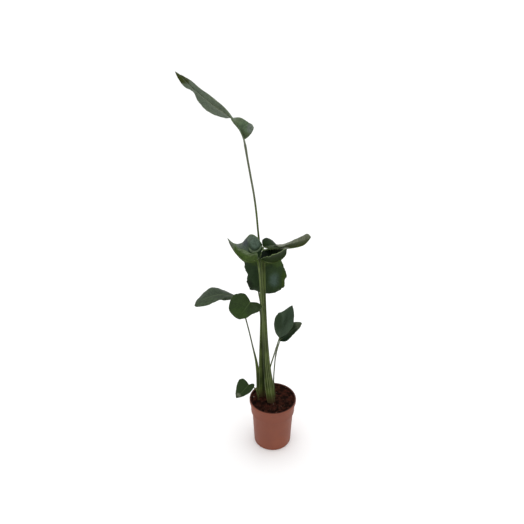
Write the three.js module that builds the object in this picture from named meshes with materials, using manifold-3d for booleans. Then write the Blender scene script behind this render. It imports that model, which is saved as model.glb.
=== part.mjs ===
// A bird of paradise plant in a plastic nursery pot. Millimetres, +Z up, origin under the pot's centre.
import * as THREE from "three";
import { mergeVertices } from "three/addons/utils/BufferGeometryUtils.js";
import Module from "manifold-3d";

const manifold = await Module();
manifold.setup();

// Pot
const potHeight = 215;
const rimRadius = 95;
const lipHeight = 15;
const collarHeight = 46;
const collarRadius = 90.6;
const shoulderRadius = 83.5;
const baseRadius = 76;
const wall = 1.6;
const floorThickness = 2;
const lipRadius = 1.5;
const collarStep = 2.6;
const collarTaper = 2;
const potSides = 44;
const drainCount = 6;
const drainRadius = 6;
const drainCircle = 58;
const drainSides = 16;

// Soil
const soilLevel = 206;
const soilRelief = 2.2;
const soilRings = 7;
const soilBevel = 3;

// Clearance between neighbouring pieces
const clearance = 0.6;

// Blades
const leafThickness = 1;
const footCut = 0.045;
const tipCut = 0.97;
const ribEnd = 0.985;
const tipReach = 1.35;
const halfArch = 0.06;
const edgeCrowding = 1.25;
const waveShift = 2.4;
const bladeSteps = 18;
const halfSteps = 4;
const sharpestFold = 0.4;

// Stalks and midribs
const ribRows = [1, 4, 8, 12];
const ribStart = 0.85;
const ribTip = 1.1;
const ribSink = 0.85;
const ribSteps = 7;
const stalkSteps = 16;
const stalkSides = 8;
const stalkDepthInSoil = 60;

const leafGreen = { color: 0x2f4a2c, roughness: 0.42, metalness: 0 };
const stalkGreen = { color: 0x66783c, roughness: 0.45, metalness: 0 };
const terracotta = { color: 0x8a5443, roughness: 0.5, metalness: 0 };
const peat = { color: 0x2a1e19, roughness: 0.95, metalness: 0 };

// Each leaf's rails, from the blade's base to its tip. Left and right are as seen on the upper face
// with the tip up. wave is the rise of the edge and waves how many there are.
const leaves = [
  {
    name: "top",
    wave: 4,
    waves: 3,
    midrib: [
      [-100, 18, 1263], [-112, 8, 1293], [-126, -2, 1320], [-142, -10, 1342], [-171, -14, 1364],
      [-207, -10, 1387], [-241, -2, 1413], [-277, 6, 1447], [-310, 10, 1475],
    ],
    left: [
      [-109, -14, 1288], [-128, -32, 1325], [-142, -48, 1349], [-170, -58, 1386], [-206, -56, 1421],
      [-241, -44, 1442], [-278, -22, 1462], [-299, -4, 1472],
    ],
    right: [
      [-76, 12, 1288], [-71, 8, 1312], [-93, 16, 1324], [-121, 38, 1332], [-161, 60, 1328],
      [-209, 60, 1339], [-245, 48, 1370], [-263, 38, 1413], [-287, 28, 1429], [-302, 18, 1451],
    ],
  },
  {
    name: "right",
    wave: 2.5,
    waves: 3,
    midrib: [
      [-42, 26, 883], [-19, 16, 881], [9, 4, 884], [44, -3, 889], [79, -4, 892], [108, -1, 904],
      [128, 4, 928],
    ],
    left: [
      [-43, 42, 899], [-27, 54, 904], [-8, 60, 891], [10, 58, 875], [46, 52, 886], [88, 42, 907],
      [115, 26, 931],
    ],
    right: [
      [-20, -10, 900], [6, -40, 913], [37, -56, 924], [75, -48, 930], [108, -24, 931],
    ],
  },
  {
    name: "left",
    wave: 2.5,
    waves: 3,
    midrib: [
      [-59, -34, 858], [-77, -29, 849], [-103, -44, 857], [-123, -46, 876], [-140, -40, 896],
      [-154, -17, 908], [-165, 0, 926],
    ],
    left: [
      [-62, -44, 891], [-85, -58, 896], [-108, -57, 908], [-129, -54, 919], [-149, -30, 925],
    ],
    right: [
      [-48, -8, 872], [-42, 13, 891], [-62, 24, 919], [-82, 35, 926], [-101, 40, 908], [-119, 41, 888],
      [-144, 32, 892], [-158, 14, 912],
    ],
  },
  {
    name: "cupped",
    wave: 2,
    waves: 2,
    midrib: [
      [-49, -20, 854], [-30, -28, 846], [-5, -30, 845], [19, -36, 858], [37, -38, 878], [42, -36, 902],
    ],
    left: [
      [-43, 2, 878], [-30, 12, 879], [-5, 24, 875], [23, 12, 880],
    ],
    right: [
      [-35, -56, 880], [-13, -70, 890], [7, -76, 904], [27, -68, 912],
    ],
  },
  {
    name: "hanging",
    wave: 5,
    waves: 5,
    midrib: [
      [-56, 48, 847], [-56, 38, 828], [-53, 29, 802], [-50, 32, 763], [-48, 38, 722], [-47, 48, 680],
    ],
    left: [
      [-15, 64, 824], [26, 60, 813], [38, 44, 790], [47, 38, 752], [39, 42, 711], [13, 46, 683],
      [-21, 50, 674],
    ],
    right: [
      [-96, 62, 821], [-114, 60, 807], [-105, 44, 782], [-99, 38, 756], [-102, 40, 730], [-91, 44, 699],
      [-70, 48, 687],
    ],
  },
  {
    name: "low_left",
    wave: 2.5,
    waves: 3,
    midrib: [
      [-137, 18, 680], [-163, 14, 685], [-196, 8, 693], [-232, 2, 689], [-266, -4, 676],
      [-295, -8, 655],
    ],
    left: [
      [-162, -8, 681], [-193, -26, 690], [-226, -34, 681], [-260, -30, 666], [-284, -18, 656],
    ],
    right: [
      [-161, 44, 679], [-192, 56, 686], [-223, 58, 700], [-255, 48, 687], [-285, 24, 668],
    ],
  },
  {
    name: "heart",
    wave: 2.5,
    waves: 4,
    midrib: [
      [-85, -44, 693], [-96, -58, 685], [-109, -70, 671], [-121, -77, 659], [-134, -83, 647],
    ],
    left: [
      [-57, -40, 687], [-43, -56, 680], [-56, -82, 677], [-81, -98, 671], [-104, -98, 658],
      [-121, -90, 648],
    ],
    right: [
      [-101, -24, 711], [-122, -18, 716], [-146, -22, 709], [-161, -40, 691], [-163, -60, 671],
      [-149, -76, 656],
    ],
  },
  {
    name: "upper_right",
    wave: 2.5,
    waves: 3,
    midrib: [
      [22, -14, 516], [29, -22, 554], [42, -26, 596], [54, -27, 636], [68, -20, 666],
    ],
    left: [
      [6, -22, 549], [0, -34, 597], [7, -42, 632], [27, -40, 649], [49, -30, 659],
    ],
    right: [
      [48, -30, 545], [67, -44, 584], [74, -44, 621], [73, -28, 645],
    ],
  },
  {
    name: "lower_right",
    wave: 2,
    waves: 2,
    midrib: [
      [22, 10, 486], [43, 8, 507], [67, 6, 534], [90, 8, 554], [109, 12, 567],
    ],
    left: [
      [28, 36, 503], [50, 48, 525], [76, 46, 546], [99, 32, 560],
    ],
    right: [
      [46, -14, 501], [68, -24, 528], [88, -16, 551], [103, 0, 560],
    ],
  },
  {
    name: "small",
    wave: 1.5,
    waves: 3,
    midrib: [
      [-94, -62, 332], [-108, -70, 320], [-125, -78, 304], [-145, -80, 280],
    ],
    left: [
      [-80, -60, 336], [-73, -62, 330], [-79, -76, 321], [-94, -88, 312], [-116, -92, 299],
      [-131, -84, 287],
    ],
    right: [
      [-106, -52, 343], [-119, -48, 351], [-134, -48, 344], [-142, -56, 325], [-147, -71, 303],
    ],
  },
];

// Each shoot's stalks, from the soil to the blade's base. broad and slim are half widths, sheath is the
// share of the path where the sheath has closed, and flat is depth over width at the foot.
const shoots = [
  {
    name: "shoot_right",
    stalks: [
      {
        leaf: "top",
        broad: 12,
        slim: 3.6,
        sheath: 0.55,
        flat: 0.75,
        path: [
          [-7, -14, 193], [-17, -14, 291], [-25, -12, 402], [-32, -9, 513], [-37, -5, 627],
          [-40, 0, 726], [-41, 9, 787], [-45, 24, 836], [-50, 34, 864], [-54, 40, 892], [-58, 42, 934],
          [-64, 42, 1006], [-72, 38, 1073], [-82, 33, 1135], [-92, 27, 1198], [-99, 21, 1246],
        ],
      },
      {
        leaf: "right",
        broad: 14,
        slim: 3.8,
        sheath: 0.62,
        flat: 0.7,
        path: [
          [-6, -14, 193], [-15, -12, 289], [-21, -8, 399], [-27, -6, 511], [-31, -5, 627],
          [-34, -4, 728], [-35, 7, 797], [-36, 24, 840], [-40, 32, 865],
        ],
      },
      {
        leaf: "cupped",
        broad: 12.5,
        slim: 3.8,
        sheath: 0.62,
        flat: 0.72,
        path: [
          [-9, -18, 197], [-19, -18, 294], [-28, -17, 406], [-33, -15, 517], [-38, -14, 632],
          [-42, -14, 734], [-45, -15, 800],
        ],
      },
      {
        leaf: "left",
        broad: 7.5,
        slim: 3.6,
        sheath: 0.75,
        flat: 0.85,
        path: [
          [-15, -20, 198], [-26, -22, 297], [-34, -21, 409], [-37, -18, 519], [-41, -17, 617],
          [-47, -18, 695], [-51, -22, 771], [-55, -28, 822],
        ],
      },
      {
        leaf: "upper_right",
        broad: 13,
        slim: 2.7,
        sheath: 0.72,
        flat: 0.7,
        path: [
          [-1, -12, 191], [-6, -11, 288], [-13, -8, 361], [-10, -9, 383], [-1, -10, 420],
          [11, -12, 469],
        ],
      },
    ],
  },
  {
    name: "shoot_left",
    stalks: [
      {
        leaf: "hanging",
        broad: 14.5,
        slim: 3.2,
        sheath: 0.66,
        flat: 0.75,
        path: [
          [-44, 20, 190], [-44, 19, 264], [-44, 18, 380], [-44, 17, 495], [-43, 18, 586],
          [-49, 30, 645], [-56, 52, 676], [-61, 60, 727], [-63, 58, 787],
        ],
      },
      {
        leaf: "heart",
        broad: 12.6,
        slim: 3.4,
        sheath: 0.72,
        flat: 0.8,
        path: [
          [-48, 18, 191], [-47, 17, 265], [-48, 16, 381], [-47, 16, 496], [-47, 15, 570],
          [-49, 10, 609], [-54, -2, 640], [-65, -18, 662], [-75, -30, 675],
        ],
      },
      {
        leaf: "low_left",
        broad: 13,
        slim: 2.8,
        sheath: 0.8,
        flat: 0.7,
        path: [
          [-56, 20, 190], [-57, 20, 263], [-61, 20, 329], [-68, 20, 388], [-81, 21, 455],
          [-96, 21, 534], [-114, 20, 611],
        ],
      },
    ],
  },
  {
    name: "stalk_lower_right",
    stalks: [
      {
        leaf: "lower_right",
        broad: 6,
        slim: 2.5,
        sheath: 0.5,
        flat: 0.9,
        path: [
          [11, 12, 197], [6, 12, 244], [3, 12, 300], [6, 13, 364], [11, 13, 422],
        ],
      },
    ],
  },
  {
    name: "stalk_small",
    stalks: [
      {
        leaf: "small",
        broad: 4.5,
        slim: 2.2,
        sheath: 0.6,
        flat: 0.9,
        path: [
          [-58, -6, 207], [-60, -16, 247], [-68, -32, 283], [-81, -48, 310],
        ],
      },
    ],
  },
];

const vector = ([x, y, z]) => new THREE.Vector3(x, y, z);
const curveThrough = (points) => new THREE.CatmullRomCurve3(points.map(vector), false, "catmullrom", 0.5);
const lerp = THREE.MathUtils.lerp;

// The closed solid of a geometry whose faces share their vertices.
function solidOf(geometry) {
  const bare = geometry.clone();
  bare.deleteAttribute("normal");
  bare.deleteAttribute("uv");
  const merged = mergeVertices(bare, 1e-4);
  return new manifold.Manifold(new manifold.Mesh({
    numProp: 3,
    vertProperties: new Float32Array(merged.attributes.position.array),
    triVerts: new Uint32Array(merged.index.array),
  }));
}

function geometryOf(solid) {
  const mesh = solid.getMesh();
  const geometry = new THREE.BufferGeometry();
  geometry.setAttribute("position", new THREE.BufferAttribute(mesh.vertProperties, 3));
  geometry.setIndex(new THREE.BufferAttribute(mesh.triVerts, 1));
  geometry.computeVertexNormals();
  return geometry;
}

// The largest body left after a cut.
function largestBody(solid) {
  const bodies = solid.decompose();
  return bodies.reduce((best, body) => (body.volume() > best.volume() ? body : best));
}

function named(name, geometry, look) {
  const mesh = new THREE.Mesh(geometry, new THREE.MeshStandardMaterial(look));
  mesh.name = name;
  return mesh;
}

function turned(profile, sides) {
  const points = profile.map(([radius, height]) => new THREE.Vector2(radius, height));
  return new THREE.LatheGeometry(points, sides).rotateX(Math.PI / 2);
}

// Pot: a tapered wall with a shoulder, a collar above it and a lip round the top.
function makePot() {
  const collarBase = potHeight - lipHeight - collarHeight;
  const lipBase = potHeight - lipHeight;
  const innerRim = collarRadius - wall;
  const profile = [
    [0, 0],
    [baseRadius - lipRadius, 0],
    [baseRadius, lipRadius],
    [shoulderRadius, collarBase - lipRadius / 2],
    [collarRadius - collarStep, collarBase],
    [collarRadius - collarTaper, collarBase + lipRadius],
    [collarRadius, lipBase - lipRadius / 2],
    [rimRadius - lipRadius, lipBase],
    [rimRadius, lipBase + lipRadius],
    [rimRadius, potHeight - 2 * lipRadius],
    [rimRadius - lipRadius / 2, potHeight - lipRadius / 2],
    [rimRadius - 2 * lipRadius, potHeight],
    [innerRim + lipRadius / 2, potHeight - lipRadius / 2],
    [innerRim, potHeight - 2 * lipRadius],
    [innerRim, lipBase - lipRadius / 2],
    [collarRadius - collarTaper - wall, collarBase + lipRadius],
    [shoulderRadius - wall, collarBase - collarStep],
    [baseRadius - wall, floorThickness],
    [0, floorThickness],
  ];
  const drillLength = 4 * floorThickness;
  const drill = new THREE.CylinderGeometry(drainRadius, drainRadius, drillLength, drainSides);
  drill.rotateX(Math.PI / 2);
  let pot = solidOf(turned(profile, potSides));
  for (let hole = 0; hole < drainCount; hole += 1) {
    const angle = (2 * Math.PI * (hole + 0.5)) / drainCount;
    const bit = drill.clone().translate(drainCircle * Math.cos(angle), drainCircle * Math.sin(angle), 0);
    pot = pot.subtract(solidOf(bit));
  }
  return pot;
}

// Soil: fills the pot to below the rim, with a crumbly top raised by crossed waves.
function makeSoil() {
  const collarBase = potHeight - lipHeight - collarHeight;
  const wallRadius = collarRadius - wall - clearance;
  const profile = [
    [0, floorThickness + clearance],
    [baseRadius - wall - clearance, floorThickness + clearance],
    [shoulderRadius - wall - clearance, collarBase - collarStep + clearance],
    [wallRadius - collarTaper, collarBase + lipRadius + clearance],
    [wallRadius - clearance, soilLevel],
  ];
  for (let ring = soilRings - 1; ring >= 0; ring -= 1) {
    profile.push([((wallRadius - soilBevel) * ring) / soilRings, soilLevel + 1]);
  }
  const geometry = turned(profile, potSides);
  const place = geometry.attributes.position;
  for (let index = 0; index < place.count; index += 1) {
    const [x, y, z] = [place.getX(index), place.getY(index), place.getZ(index)];
    if (z > soilLevel + 0.5) {
      const broadSwell = Math.sin(0.11 * x + 1.3) * Math.cos(0.13 * y);
      const fineSwell = Math.sin(0.27 * x - 0.19 * y + 2.1);
      place.setZ(index, z + soilRelief * (broadSwell + 0.6 * fineSwell));
    }
  }
  return solidOf(geometry);
}

// Blade: a sheet stretched between three rails, its midrib and its two edges. Each row runs from the
// midrib to an edge further along, arched a little, and the edge rises and falls in waves.
function bladeRows(leaf, growth) {
  const midrib = curveThrough(leaf.midrib);
  const [foot, tip] = [leaf.midrib[0], leaf.midrib[leaf.midrib.length - 1]];
  const edges = [leaf.left, leaf.right].map((edge) => curveThrough([foot, ...edge, tip]));
  const rows = [];
  for (let step = 0; step <= bladeSteps; step += 1) {
    const along = lerp(footCut, tipCut, step / bladeSteps);
    const onRib = lerp(footCut, ribEnd, step / bladeSteps) ** tipReach;
    const root = midrib.getPoint(onRib);
    const heading = midrib.getTangent(THREE.MathUtils.clamp(onRib, 0.01, 0.99));
    const push = (step === bladeSteps ? growth : 0) - (step === 0 ? growth : 0);
    const row = [];
    for (let side = 0; side < 2; side += 1) {
      const reach = edges[side].getPoint(along).sub(root);
      const up = new THREE.Vector3().crossVectors(reach, heading).normalize();
      up.multiplyScalar(side === 0 ? -1 : 1);
      const half = [];
      for (let across = side; across <= halfSteps; across += 1) {
        const share = (across / halfSteps) ** edgeCrowding;
        const ripple = Math.sin(2 * Math.PI * leaf.waves * along + waveShift * side);
        const wave = leaf.wave * share ** 3 * ripple * Math.sin(Math.PI * along);
        const lift = halfArch * 4 * share * (1 - share) * reach.length() + wave;
        const stretch = share * (1 + (across === halfSteps ? growth / reach.length() : 0));
        const at = root.clone().addScaledVector(reach, stretch).addScaledVector(up, lift);
        half.push(at.addScaledVector(heading, push));
      }
      row.push(...(side === 0 ? half.reverse() : half));
    }
    rows.push(row);
  }
  return rows;
}

const between = (from, to) => to.clone().sub(from).normalize();

// The upward direction of a grid of points at one of them, out of the leaf's upper face. The steps to
// both sides count alike, so that it halves the angle of a fold, and it is longer there, as at a mitre.
function upAt(rows, i, j) {
  const row = rows[i];
  const here = row[j];
  const along = between(rows[Math.max(i - 1, 0)][j], here);
  along.add(between(here, rows[Math.min(i + 1, rows.length - 1)][j]));
  const across = between(row[Math.max(j - 1, 0)], here);
  across.add(between(here, row[Math.min(j + 1, row.length - 1)]));
  const openness = j > 0 && j < row.length - 1 ? across.length() / 2 : 1;
  return along.cross(across).negate().setLength(1 / Math.max(openness, sharpestFold));
}

// A blade's geometry: its rows, thickened to both sides and closed round the edge. Growth makes it larger
// all round.
function bladeSheet(leaf, growth) {
  const rows = bladeRows(leaf, growth);
  const columns = rows[0].length;
  const last = rows.length - 1;
  const upper = [];
  const lower = [];
  rows.forEach((row, i) => {
    row.forEach((point, j) => {
      const up = upAt(rows, i, j);
      upper.push(...point.clone().addScaledVector(up, leafThickness / 2 + growth).toArray());
      lower.push(...point.clone().addScaledVector(up, -leafThickness / 2 - growth).toArray());
    });
  });
  const under = rows.length * columns;
  const faces = [];
  const quad = (a, b, c, d) => faces.push(a, b, c, a, c, d);
  for (let i = 0; i < last; i += 1) {
    for (let j = 0; j < columns - 1; j += 1) {
      const corner = i * columns + j;
      const [a, b, c, d] = [corner, corner + 1, corner + columns + 1, corner + columns];
      quad(a, b, c, d);
      faces.push(under + a, under + c, under + b, under + a, under + d, under + c);
    }
    const [west, east] = [i * columns, i * columns + columns - 1];
    quad(west, west + columns, under + west + columns, under + west);
    quad(east + columns, east, under + east, under + east + columns);
  }
  for (let j = 0; j < columns - 1; j += 1) {
    const top = last * columns + j;
    quad(j + 1, j, under + j, under + j + 1);
    quad(top, top + 1, under + top + 1, under + top);
  }
  const geometry = new THREE.BufferGeometry();
  geometry.setAttribute("position", new THREE.Float32BufferAttribute([...upper, ...lower], 3));
  geometry.setIndex(faces);
  return geometry;
}

// Where a stalk runs on as the midrib: just under its blade's middle, thinning towards the tip.
function ribUnder(leaf, slim) {
  const rows = bladeRows(leaf, 0);
  return ribRows.map((i) => {
    const radius = lerp(slim * ribStart, ribTip, i / ribRows[ribRows.length - 1]);
    const drop = ribSink * radius + leafThickness / 2 + clearance;
    const up = upAt(rows, i, halfSteps).normalize();
    return { radius, at: rows[i][halfSteps].clone().addScaledVector(up, -drop) };
  });
}

// Stalk: an oval tube along a curve, broad and flat where it sheaths the shoot, slim and round above,
// then running on as the midrib.
function stalkTube(stalk, growth) {
  const foot = vector(stalk.path[0]).sub(new THREE.Vector3(0, 0, stalkDepthInSoil + growth));
  const rib = ribUnder(leaves.find((leaf) => leaf.name === stalk.leaf), stalk.slim);
  const points = [foot, ...stalk.path.map(vector), ...rib.map((part) => part.at)];
  const curve = new THREE.CatmullRomCurve3(points, false, "catmullrom", 0.5);
  const bladeStart = stalk.path.length / (points.length - 1);
  const steps = stalkSteps + ribSteps;
  const positions = [];
  let side = new THREE.Vector3(1, 0, 0);
  for (let step = 0; step <= steps; step += 1) {
    const onRib = step > stalkSteps;
    const share = onRib ? (step - stalkSteps) / ribSteps : step / stalkSteps;
    const along = onRib ? lerp(bladeStart, 1, share) : bladeStart * share;
    const centre = curve.getPoint(along);
    const heading = curve.getTangent(along);
    side = side.clone().addScaledVector(heading, -side.dot(heading)).normalize();
    const depth = new THREE.Vector3().crossVectors(heading, side);
    const sheath = onRib ? 0 : 1 - THREE.MathUtils.smoothstep(share, 0, stalk.sheath);
    const slim = onRib ? lerp(stalk.slim * ribStart, ribTip, share) : stalk.slim;
    const halfWidth = lerp(slim, stalk.broad, sheath) + growth;
    const halfDepth = halfWidth * lerp(1, stalk.flat, sheath);
    for (let corner = 0; corner < stalkSides; corner += 1) {
      const angle = (2 * Math.PI * corner) / stalkSides;
      const point = centre.clone().addScaledVector(side, halfWidth * Math.cos(angle));
      positions.push(...point.addScaledVector(depth, halfDepth * Math.sin(angle)).toArray());
    }
  }
  const faces = [];
  for (let step = 0; step < steps; step += 1) {
    for (let corner = 0; corner < stalkSides; corner += 1) {
      const [a, b] = [step * stalkSides + corner, step * stalkSides + ((corner + 1) % stalkSides)];
      faces.push(a, b, b + stalkSides, a, b + stalkSides, a + stalkSides);
    }
  }
  const top = steps * stalkSides;
  for (let corner = 1; corner < stalkSides - 1; corner += 1) {
    faces.push(0, corner + 1, corner, top, top + corner, top + corner + 1);
  }
  const geometry = new THREE.BufferGeometry();
  geometry.setAttribute("position", new THREE.Float32BufferAttribute(positions, 3));
  geometry.setIndex(faces);
  return geometry;
}

const fuse = (solids) => solids.reduce((whole, solid) => whole.add(solid));

const plant = new THREE.Group();
plant.add(named("pot", geometryOf(makePot()), terracotta));

const bladesGrown = leaves.map((leaf) => solidOf(bladeSheet(leaf, clearance)));
leaves.forEach((leaf) => plant.add(named(`blade_${leaf.name}`, bladeSheet(leaf, 0), leafGreen)));

// Each shoot is one body: its stalks fused, and cleared from the blades and from the shoots before it.
let soil = makeSoil();
const shootsGrown = [];
for (const shoot of shoots) {
  let solid = fuse(shoot.stalks.map((stalk) => solidOf(stalkTube(stalk, 0))));
  for (const neighbour of [...bladesGrown, ...shootsGrown]) {
    solid = solid.subtract(neighbour);
  }
  const grown = fuse(shoot.stalks.map((stalk) => solidOf(stalkTube(stalk, clearance))));
  shootsGrown.push(grown);
  soil = soil.subtract(grown);
  plant.add(named(shoot.name, geometryOf(largestBody(solid)), stalkGreen));
}
plant.add(named("soil", geometryOf(largestBody(soil)), peat));

export default plant;
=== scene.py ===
import math

import bmesh
import bpy
import numpy as np
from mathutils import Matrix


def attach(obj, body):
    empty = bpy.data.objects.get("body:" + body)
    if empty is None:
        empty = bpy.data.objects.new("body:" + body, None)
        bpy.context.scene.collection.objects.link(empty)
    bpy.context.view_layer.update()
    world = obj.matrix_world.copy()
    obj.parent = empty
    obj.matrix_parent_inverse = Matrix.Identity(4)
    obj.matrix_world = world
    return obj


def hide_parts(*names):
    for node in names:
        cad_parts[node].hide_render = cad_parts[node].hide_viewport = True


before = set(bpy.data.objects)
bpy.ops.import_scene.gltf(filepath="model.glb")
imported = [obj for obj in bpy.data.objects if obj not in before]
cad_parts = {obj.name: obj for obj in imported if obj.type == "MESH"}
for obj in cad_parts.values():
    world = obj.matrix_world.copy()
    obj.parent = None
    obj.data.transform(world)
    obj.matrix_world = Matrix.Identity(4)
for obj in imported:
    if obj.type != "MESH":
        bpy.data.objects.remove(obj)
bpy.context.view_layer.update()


# A socket of a material that is used like a number: each sum, product or other function of it adds
# the Math node that works it out.
class Wire:
    def __init__(self, finish, socket):
        self.finish = finish
        self.socket = socket

    def maths(self, operation, *numbers):
        return self.finish.node("ShaderNodeMath", {"operation": operation}, dict(enumerate(numbers)))

    def __add__(self, other):
        return self.maths("ADD", self, other)

    def __radd__(self, other):
        return self.maths("ADD", other, self)

    def __sub__(self, other):
        return self.maths("SUBTRACT", self, other)

    def __rsub__(self, other):
        return self.maths("SUBTRACT", other, self)

    def __mul__(self, other):
        return self.maths("MULTIPLY", self, other)

    def __rmul__(self, other):
        return self.maths("MULTIPLY", other, self)

    def __truediv__(self, other):
        return self.maths("DIVIDE", self, other)

    def __pow__(self, other):
        return self.maths("POWER", self, other)

    def __abs__(self):
        return self.maths("ABSOLUTE", self)

    def sine(self):
        return self.maths("SINE", self)


# A material and its nodes. node() adds a node of a kind, with its settings first and then what its
# sockets hold, and gives back one of its outputs.
class Finish:
    def __init__(self, name, roughness=0.5, shine=0.5):
        self.material = bpy.data.materials.new(name)
        self.material.use_nodes = True
        self.tree = self.material.node_tree
        self.surface = self.tree.nodes["Principled BSDF"]
        self.surface.inputs["Roughness"].default_value = roughness
        self.surface.inputs["Specular IOR Level"].default_value = shine

    def fill(self, socket, value):
        if isinstance(value, Wire):
            self.tree.links.new(value.socket, socket)
        elif hasattr(value, "__len__"):
            socket.default_value = [*value, 1.0][:len(socket.default_value)]
        else:
            socket.default_value = value

    def node(self, kind, settings=None, inputs=None, output=0):
        added = self.tree.nodes.new(kind)
        for key, value in (settings or {}).items():
            setattr(added, key, value)
        for key, value in (inputs or {}).items():
            self.fill(added.inputs[key], value)
        return Wire(self, added.outputs[output])

    # Smooth 0 to 1 as a value goes from low to high.
    def step(self, value, low, high):
        inputs = {"Value": value, "From Min": low, "From Max": high, "To Min": 0.0, "To Max": 1.0}
        return self.node("ShaderNodeMapRange", {"interpolation_type": "SMOOTHSTEP"}, inputs)

    # From the first colour to the second as the amount goes from 0 to 1.
    def blend(self, amount, first, second):
        settings = {"data_type": "RGBA", "clamp_factor": True}
        return self.node("ShaderNodeMix", settings, {0: amount, 6: first, 7: second}, output=2)

    # A colour made lighter or darker by a number.
    def shade(self, colour, amount):
        return self.node("ShaderNodeVectorMath", {"operation": "SCALE"}, {0: colour, "Scale": amount})

    def attribute(self, name):
        return self.node("ShaderNodeAttribute", {"attribute_name": name}, output="Fac")

    def place(self):
        return self.node("ShaderNodeTexCoord", output="Object")

    # The three numbers of a vector.
    def split(self, vector):
        sockets = self.node("ShaderNodeSeparateXYZ", inputs={0: vector}).socket.node.outputs
        return [Wire(self, sockets[axis]) for axis in range(3)]

    def noise(self, scale, detail=3.0, at=None, stretch=None):
        at = at or self.place()
        if stretch:
            at = self.node("ShaderNodeMapping", inputs={"Vector": at, "Scale": stretch})
        inputs = {"Vector": at, "Scale": scale, "Detail": detail, "Roughness": 0.55}
        return self.node("ShaderNodeTexNoise", inputs=inputs)

    def bump(self, height, distance, strength):
        inputs = {"Height": height, "Distance": distance, "Strength": strength}
        self.fill(self.surface.inputs["Normal"], self.node("ShaderNodeBump", inputs=inputs))

    def done(self, colour, roughness=None):
        self.fill(self.surface.inputs["Base Color"], colour)
        if roughness is not None:
            self.fill(self.surface.inputs["Roughness"], roughness)
        return self.material


# The quads between neighbouring points of a grid. Joined also closes the last column to the first.
def gridFaces(rows, columns, joined=False):
    index = np.arange(rows * columns).reshape(rows, columns)
    if joined:
        index = np.hstack([index, index[:, :1]])
    corners = [index[:-1, :-1], index[:-1, 1:], index[1:, 1:], index[1:, :-1]]
    return np.stack(corners, axis=-1).reshape(-1, 4)


# A mesh object with one material. Marks are numbers on the points, and uv a pair on each point.
def makeObject(name, points, faces, material, uv=None, marks=None):
    mesh = bpy.data.meshes.new(name)
    faces = faces.tolist() if isinstance(faces, np.ndarray) else faces
    mesh.from_pydata(np.asarray(points).reshape(-1, 3).tolist(), [], faces)
    for mark, values in (marks or {}).items():
        mesh.attributes.new(mark, "FLOAT", "POINT").data.foreach_set("value", np.ravel(values))
    if uv is not None:
        corner = np.empty(len(mesh.loops), int)
        mesh.loops.foreach_get("vertex_index", corner)
        mesh.uv_layers.new(name="surface").data.foreach_set("uv", uv.reshape(-1, 2)[corner].ravel())
    mesh.polygons.foreach_set("use_smooth", [True] * len(mesh.polygons))
    mesh.materials.append(material)
    mesh.update()
    piece = bpy.data.objects.new(name, mesh)
    bpy.context.scene.collection.objects.link(piece)
    return piece


# Makes a finished mesh a piece of the plant that stands for one of its nodes.
def standFor(piece, node):
    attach(piece, "root")
    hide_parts(node)


# Merges doubled points, such as those at a pole.
def weld(piece):
    shell = bmesh.new()
    shell.from_mesh(piece.data)
    bmesh.ops.remove_doubles(shell, verts=shell.verts, dist=1e-6)
    shell.to_mesh(piece.data)
    shell.free()


# Smooth curve through points, at shares 0 to 1 of its stretches: each stretch is a cubic whose end
# slopes are half the step between the points on either side.
def curveAt(points, share):
    points = np.asarray(points, float)
    ends = np.vstack([2 * points[0] - points[1], points, 2 * points[-1] - points[-2]])
    place = np.clip(share, 0, 1) * (len(points) - 1)
    start = np.minimum(place.astype(int), len(points) - 2)
    t = (place - start)[..., None]
    before, here, there, after = (ends[start + k] for k in range(4))
    bend = 2 * before - 5 * here + 4 * there - after
    twist = 3 * here - before - 3 * there + after
    return here + 0.5 * t * (there - before + t * (bend + t * twist))


def unit(vectors):
    return vectors / np.maximum(np.linalg.norm(vectors, axis=-1, keepdims=True), 1e-12)


def lerp(low, high, share):
    return low + (high - low) * share


def smooth(share):
    share = np.clip(share, 0, 1)
    return share * share * (3 - 2 * share)


# Lumpy heights between -1 and 1: random values on a square lattice, joined by smooth steps.
def lumps(x, y, size, seed):
    cells = 64
    lattice = np.random.default_rng(seed).uniform(-1, 1, (cells, cells))
    column, row = np.floor(x / size).astype(int), np.floor(y / size).astype(int)
    across, up = smooth(x / size - column), smooth(y / size - row)
    left, right = column % cells, (column + 1) % cells
    near, far = (lerp(lattice[k % cells, left], lattice[k % cells, right], across) for k in (row, row + 1))
    return lerp(near, far, up)


# The camera stands where the photograph was taken from, looking down at the plant.
view = {"place": (-0.044, -1.68, 1.66), "down": 26.23, "lens": 36.07}

cameraData = bpy.data.cameras.new("camera")
cameraData.lens = view["lens"]
cameraData.sensor_width = 36
camera = bpy.data.objects.new("camera", cameraData)
camera.location = view["place"]
camera.rotation_euler = (math.radians(90 - view["down"]), 0, 0)
bpy.context.scene.collection.objects.link(camera)
bpy.context.scene.camera = camera

# A wide pale floor, and light from all round with a soft key from the upper left.
studio = {
    "floorReach": 200.0,
    "floorColour": (0.95, 0.95, 0.95),
    "sky": (1.0, 1.0, 1.0),
    "skyStrength": 1.1,
    "lightsAimAt": (0, 0, 0.7),
    "lights": [
        {"name": "key", "place": (-1.6, -1.9, 2.9), "size": 1.8, "power": 30},
        {"name": "fill", "place": (2.4, -1.6, 1.8), "size": 2.2, "power": 14},
        {"name": "top", "place": (0.2, 0.6, 3.4), "size": 2.4, "power": 18},
    ],
}


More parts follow.
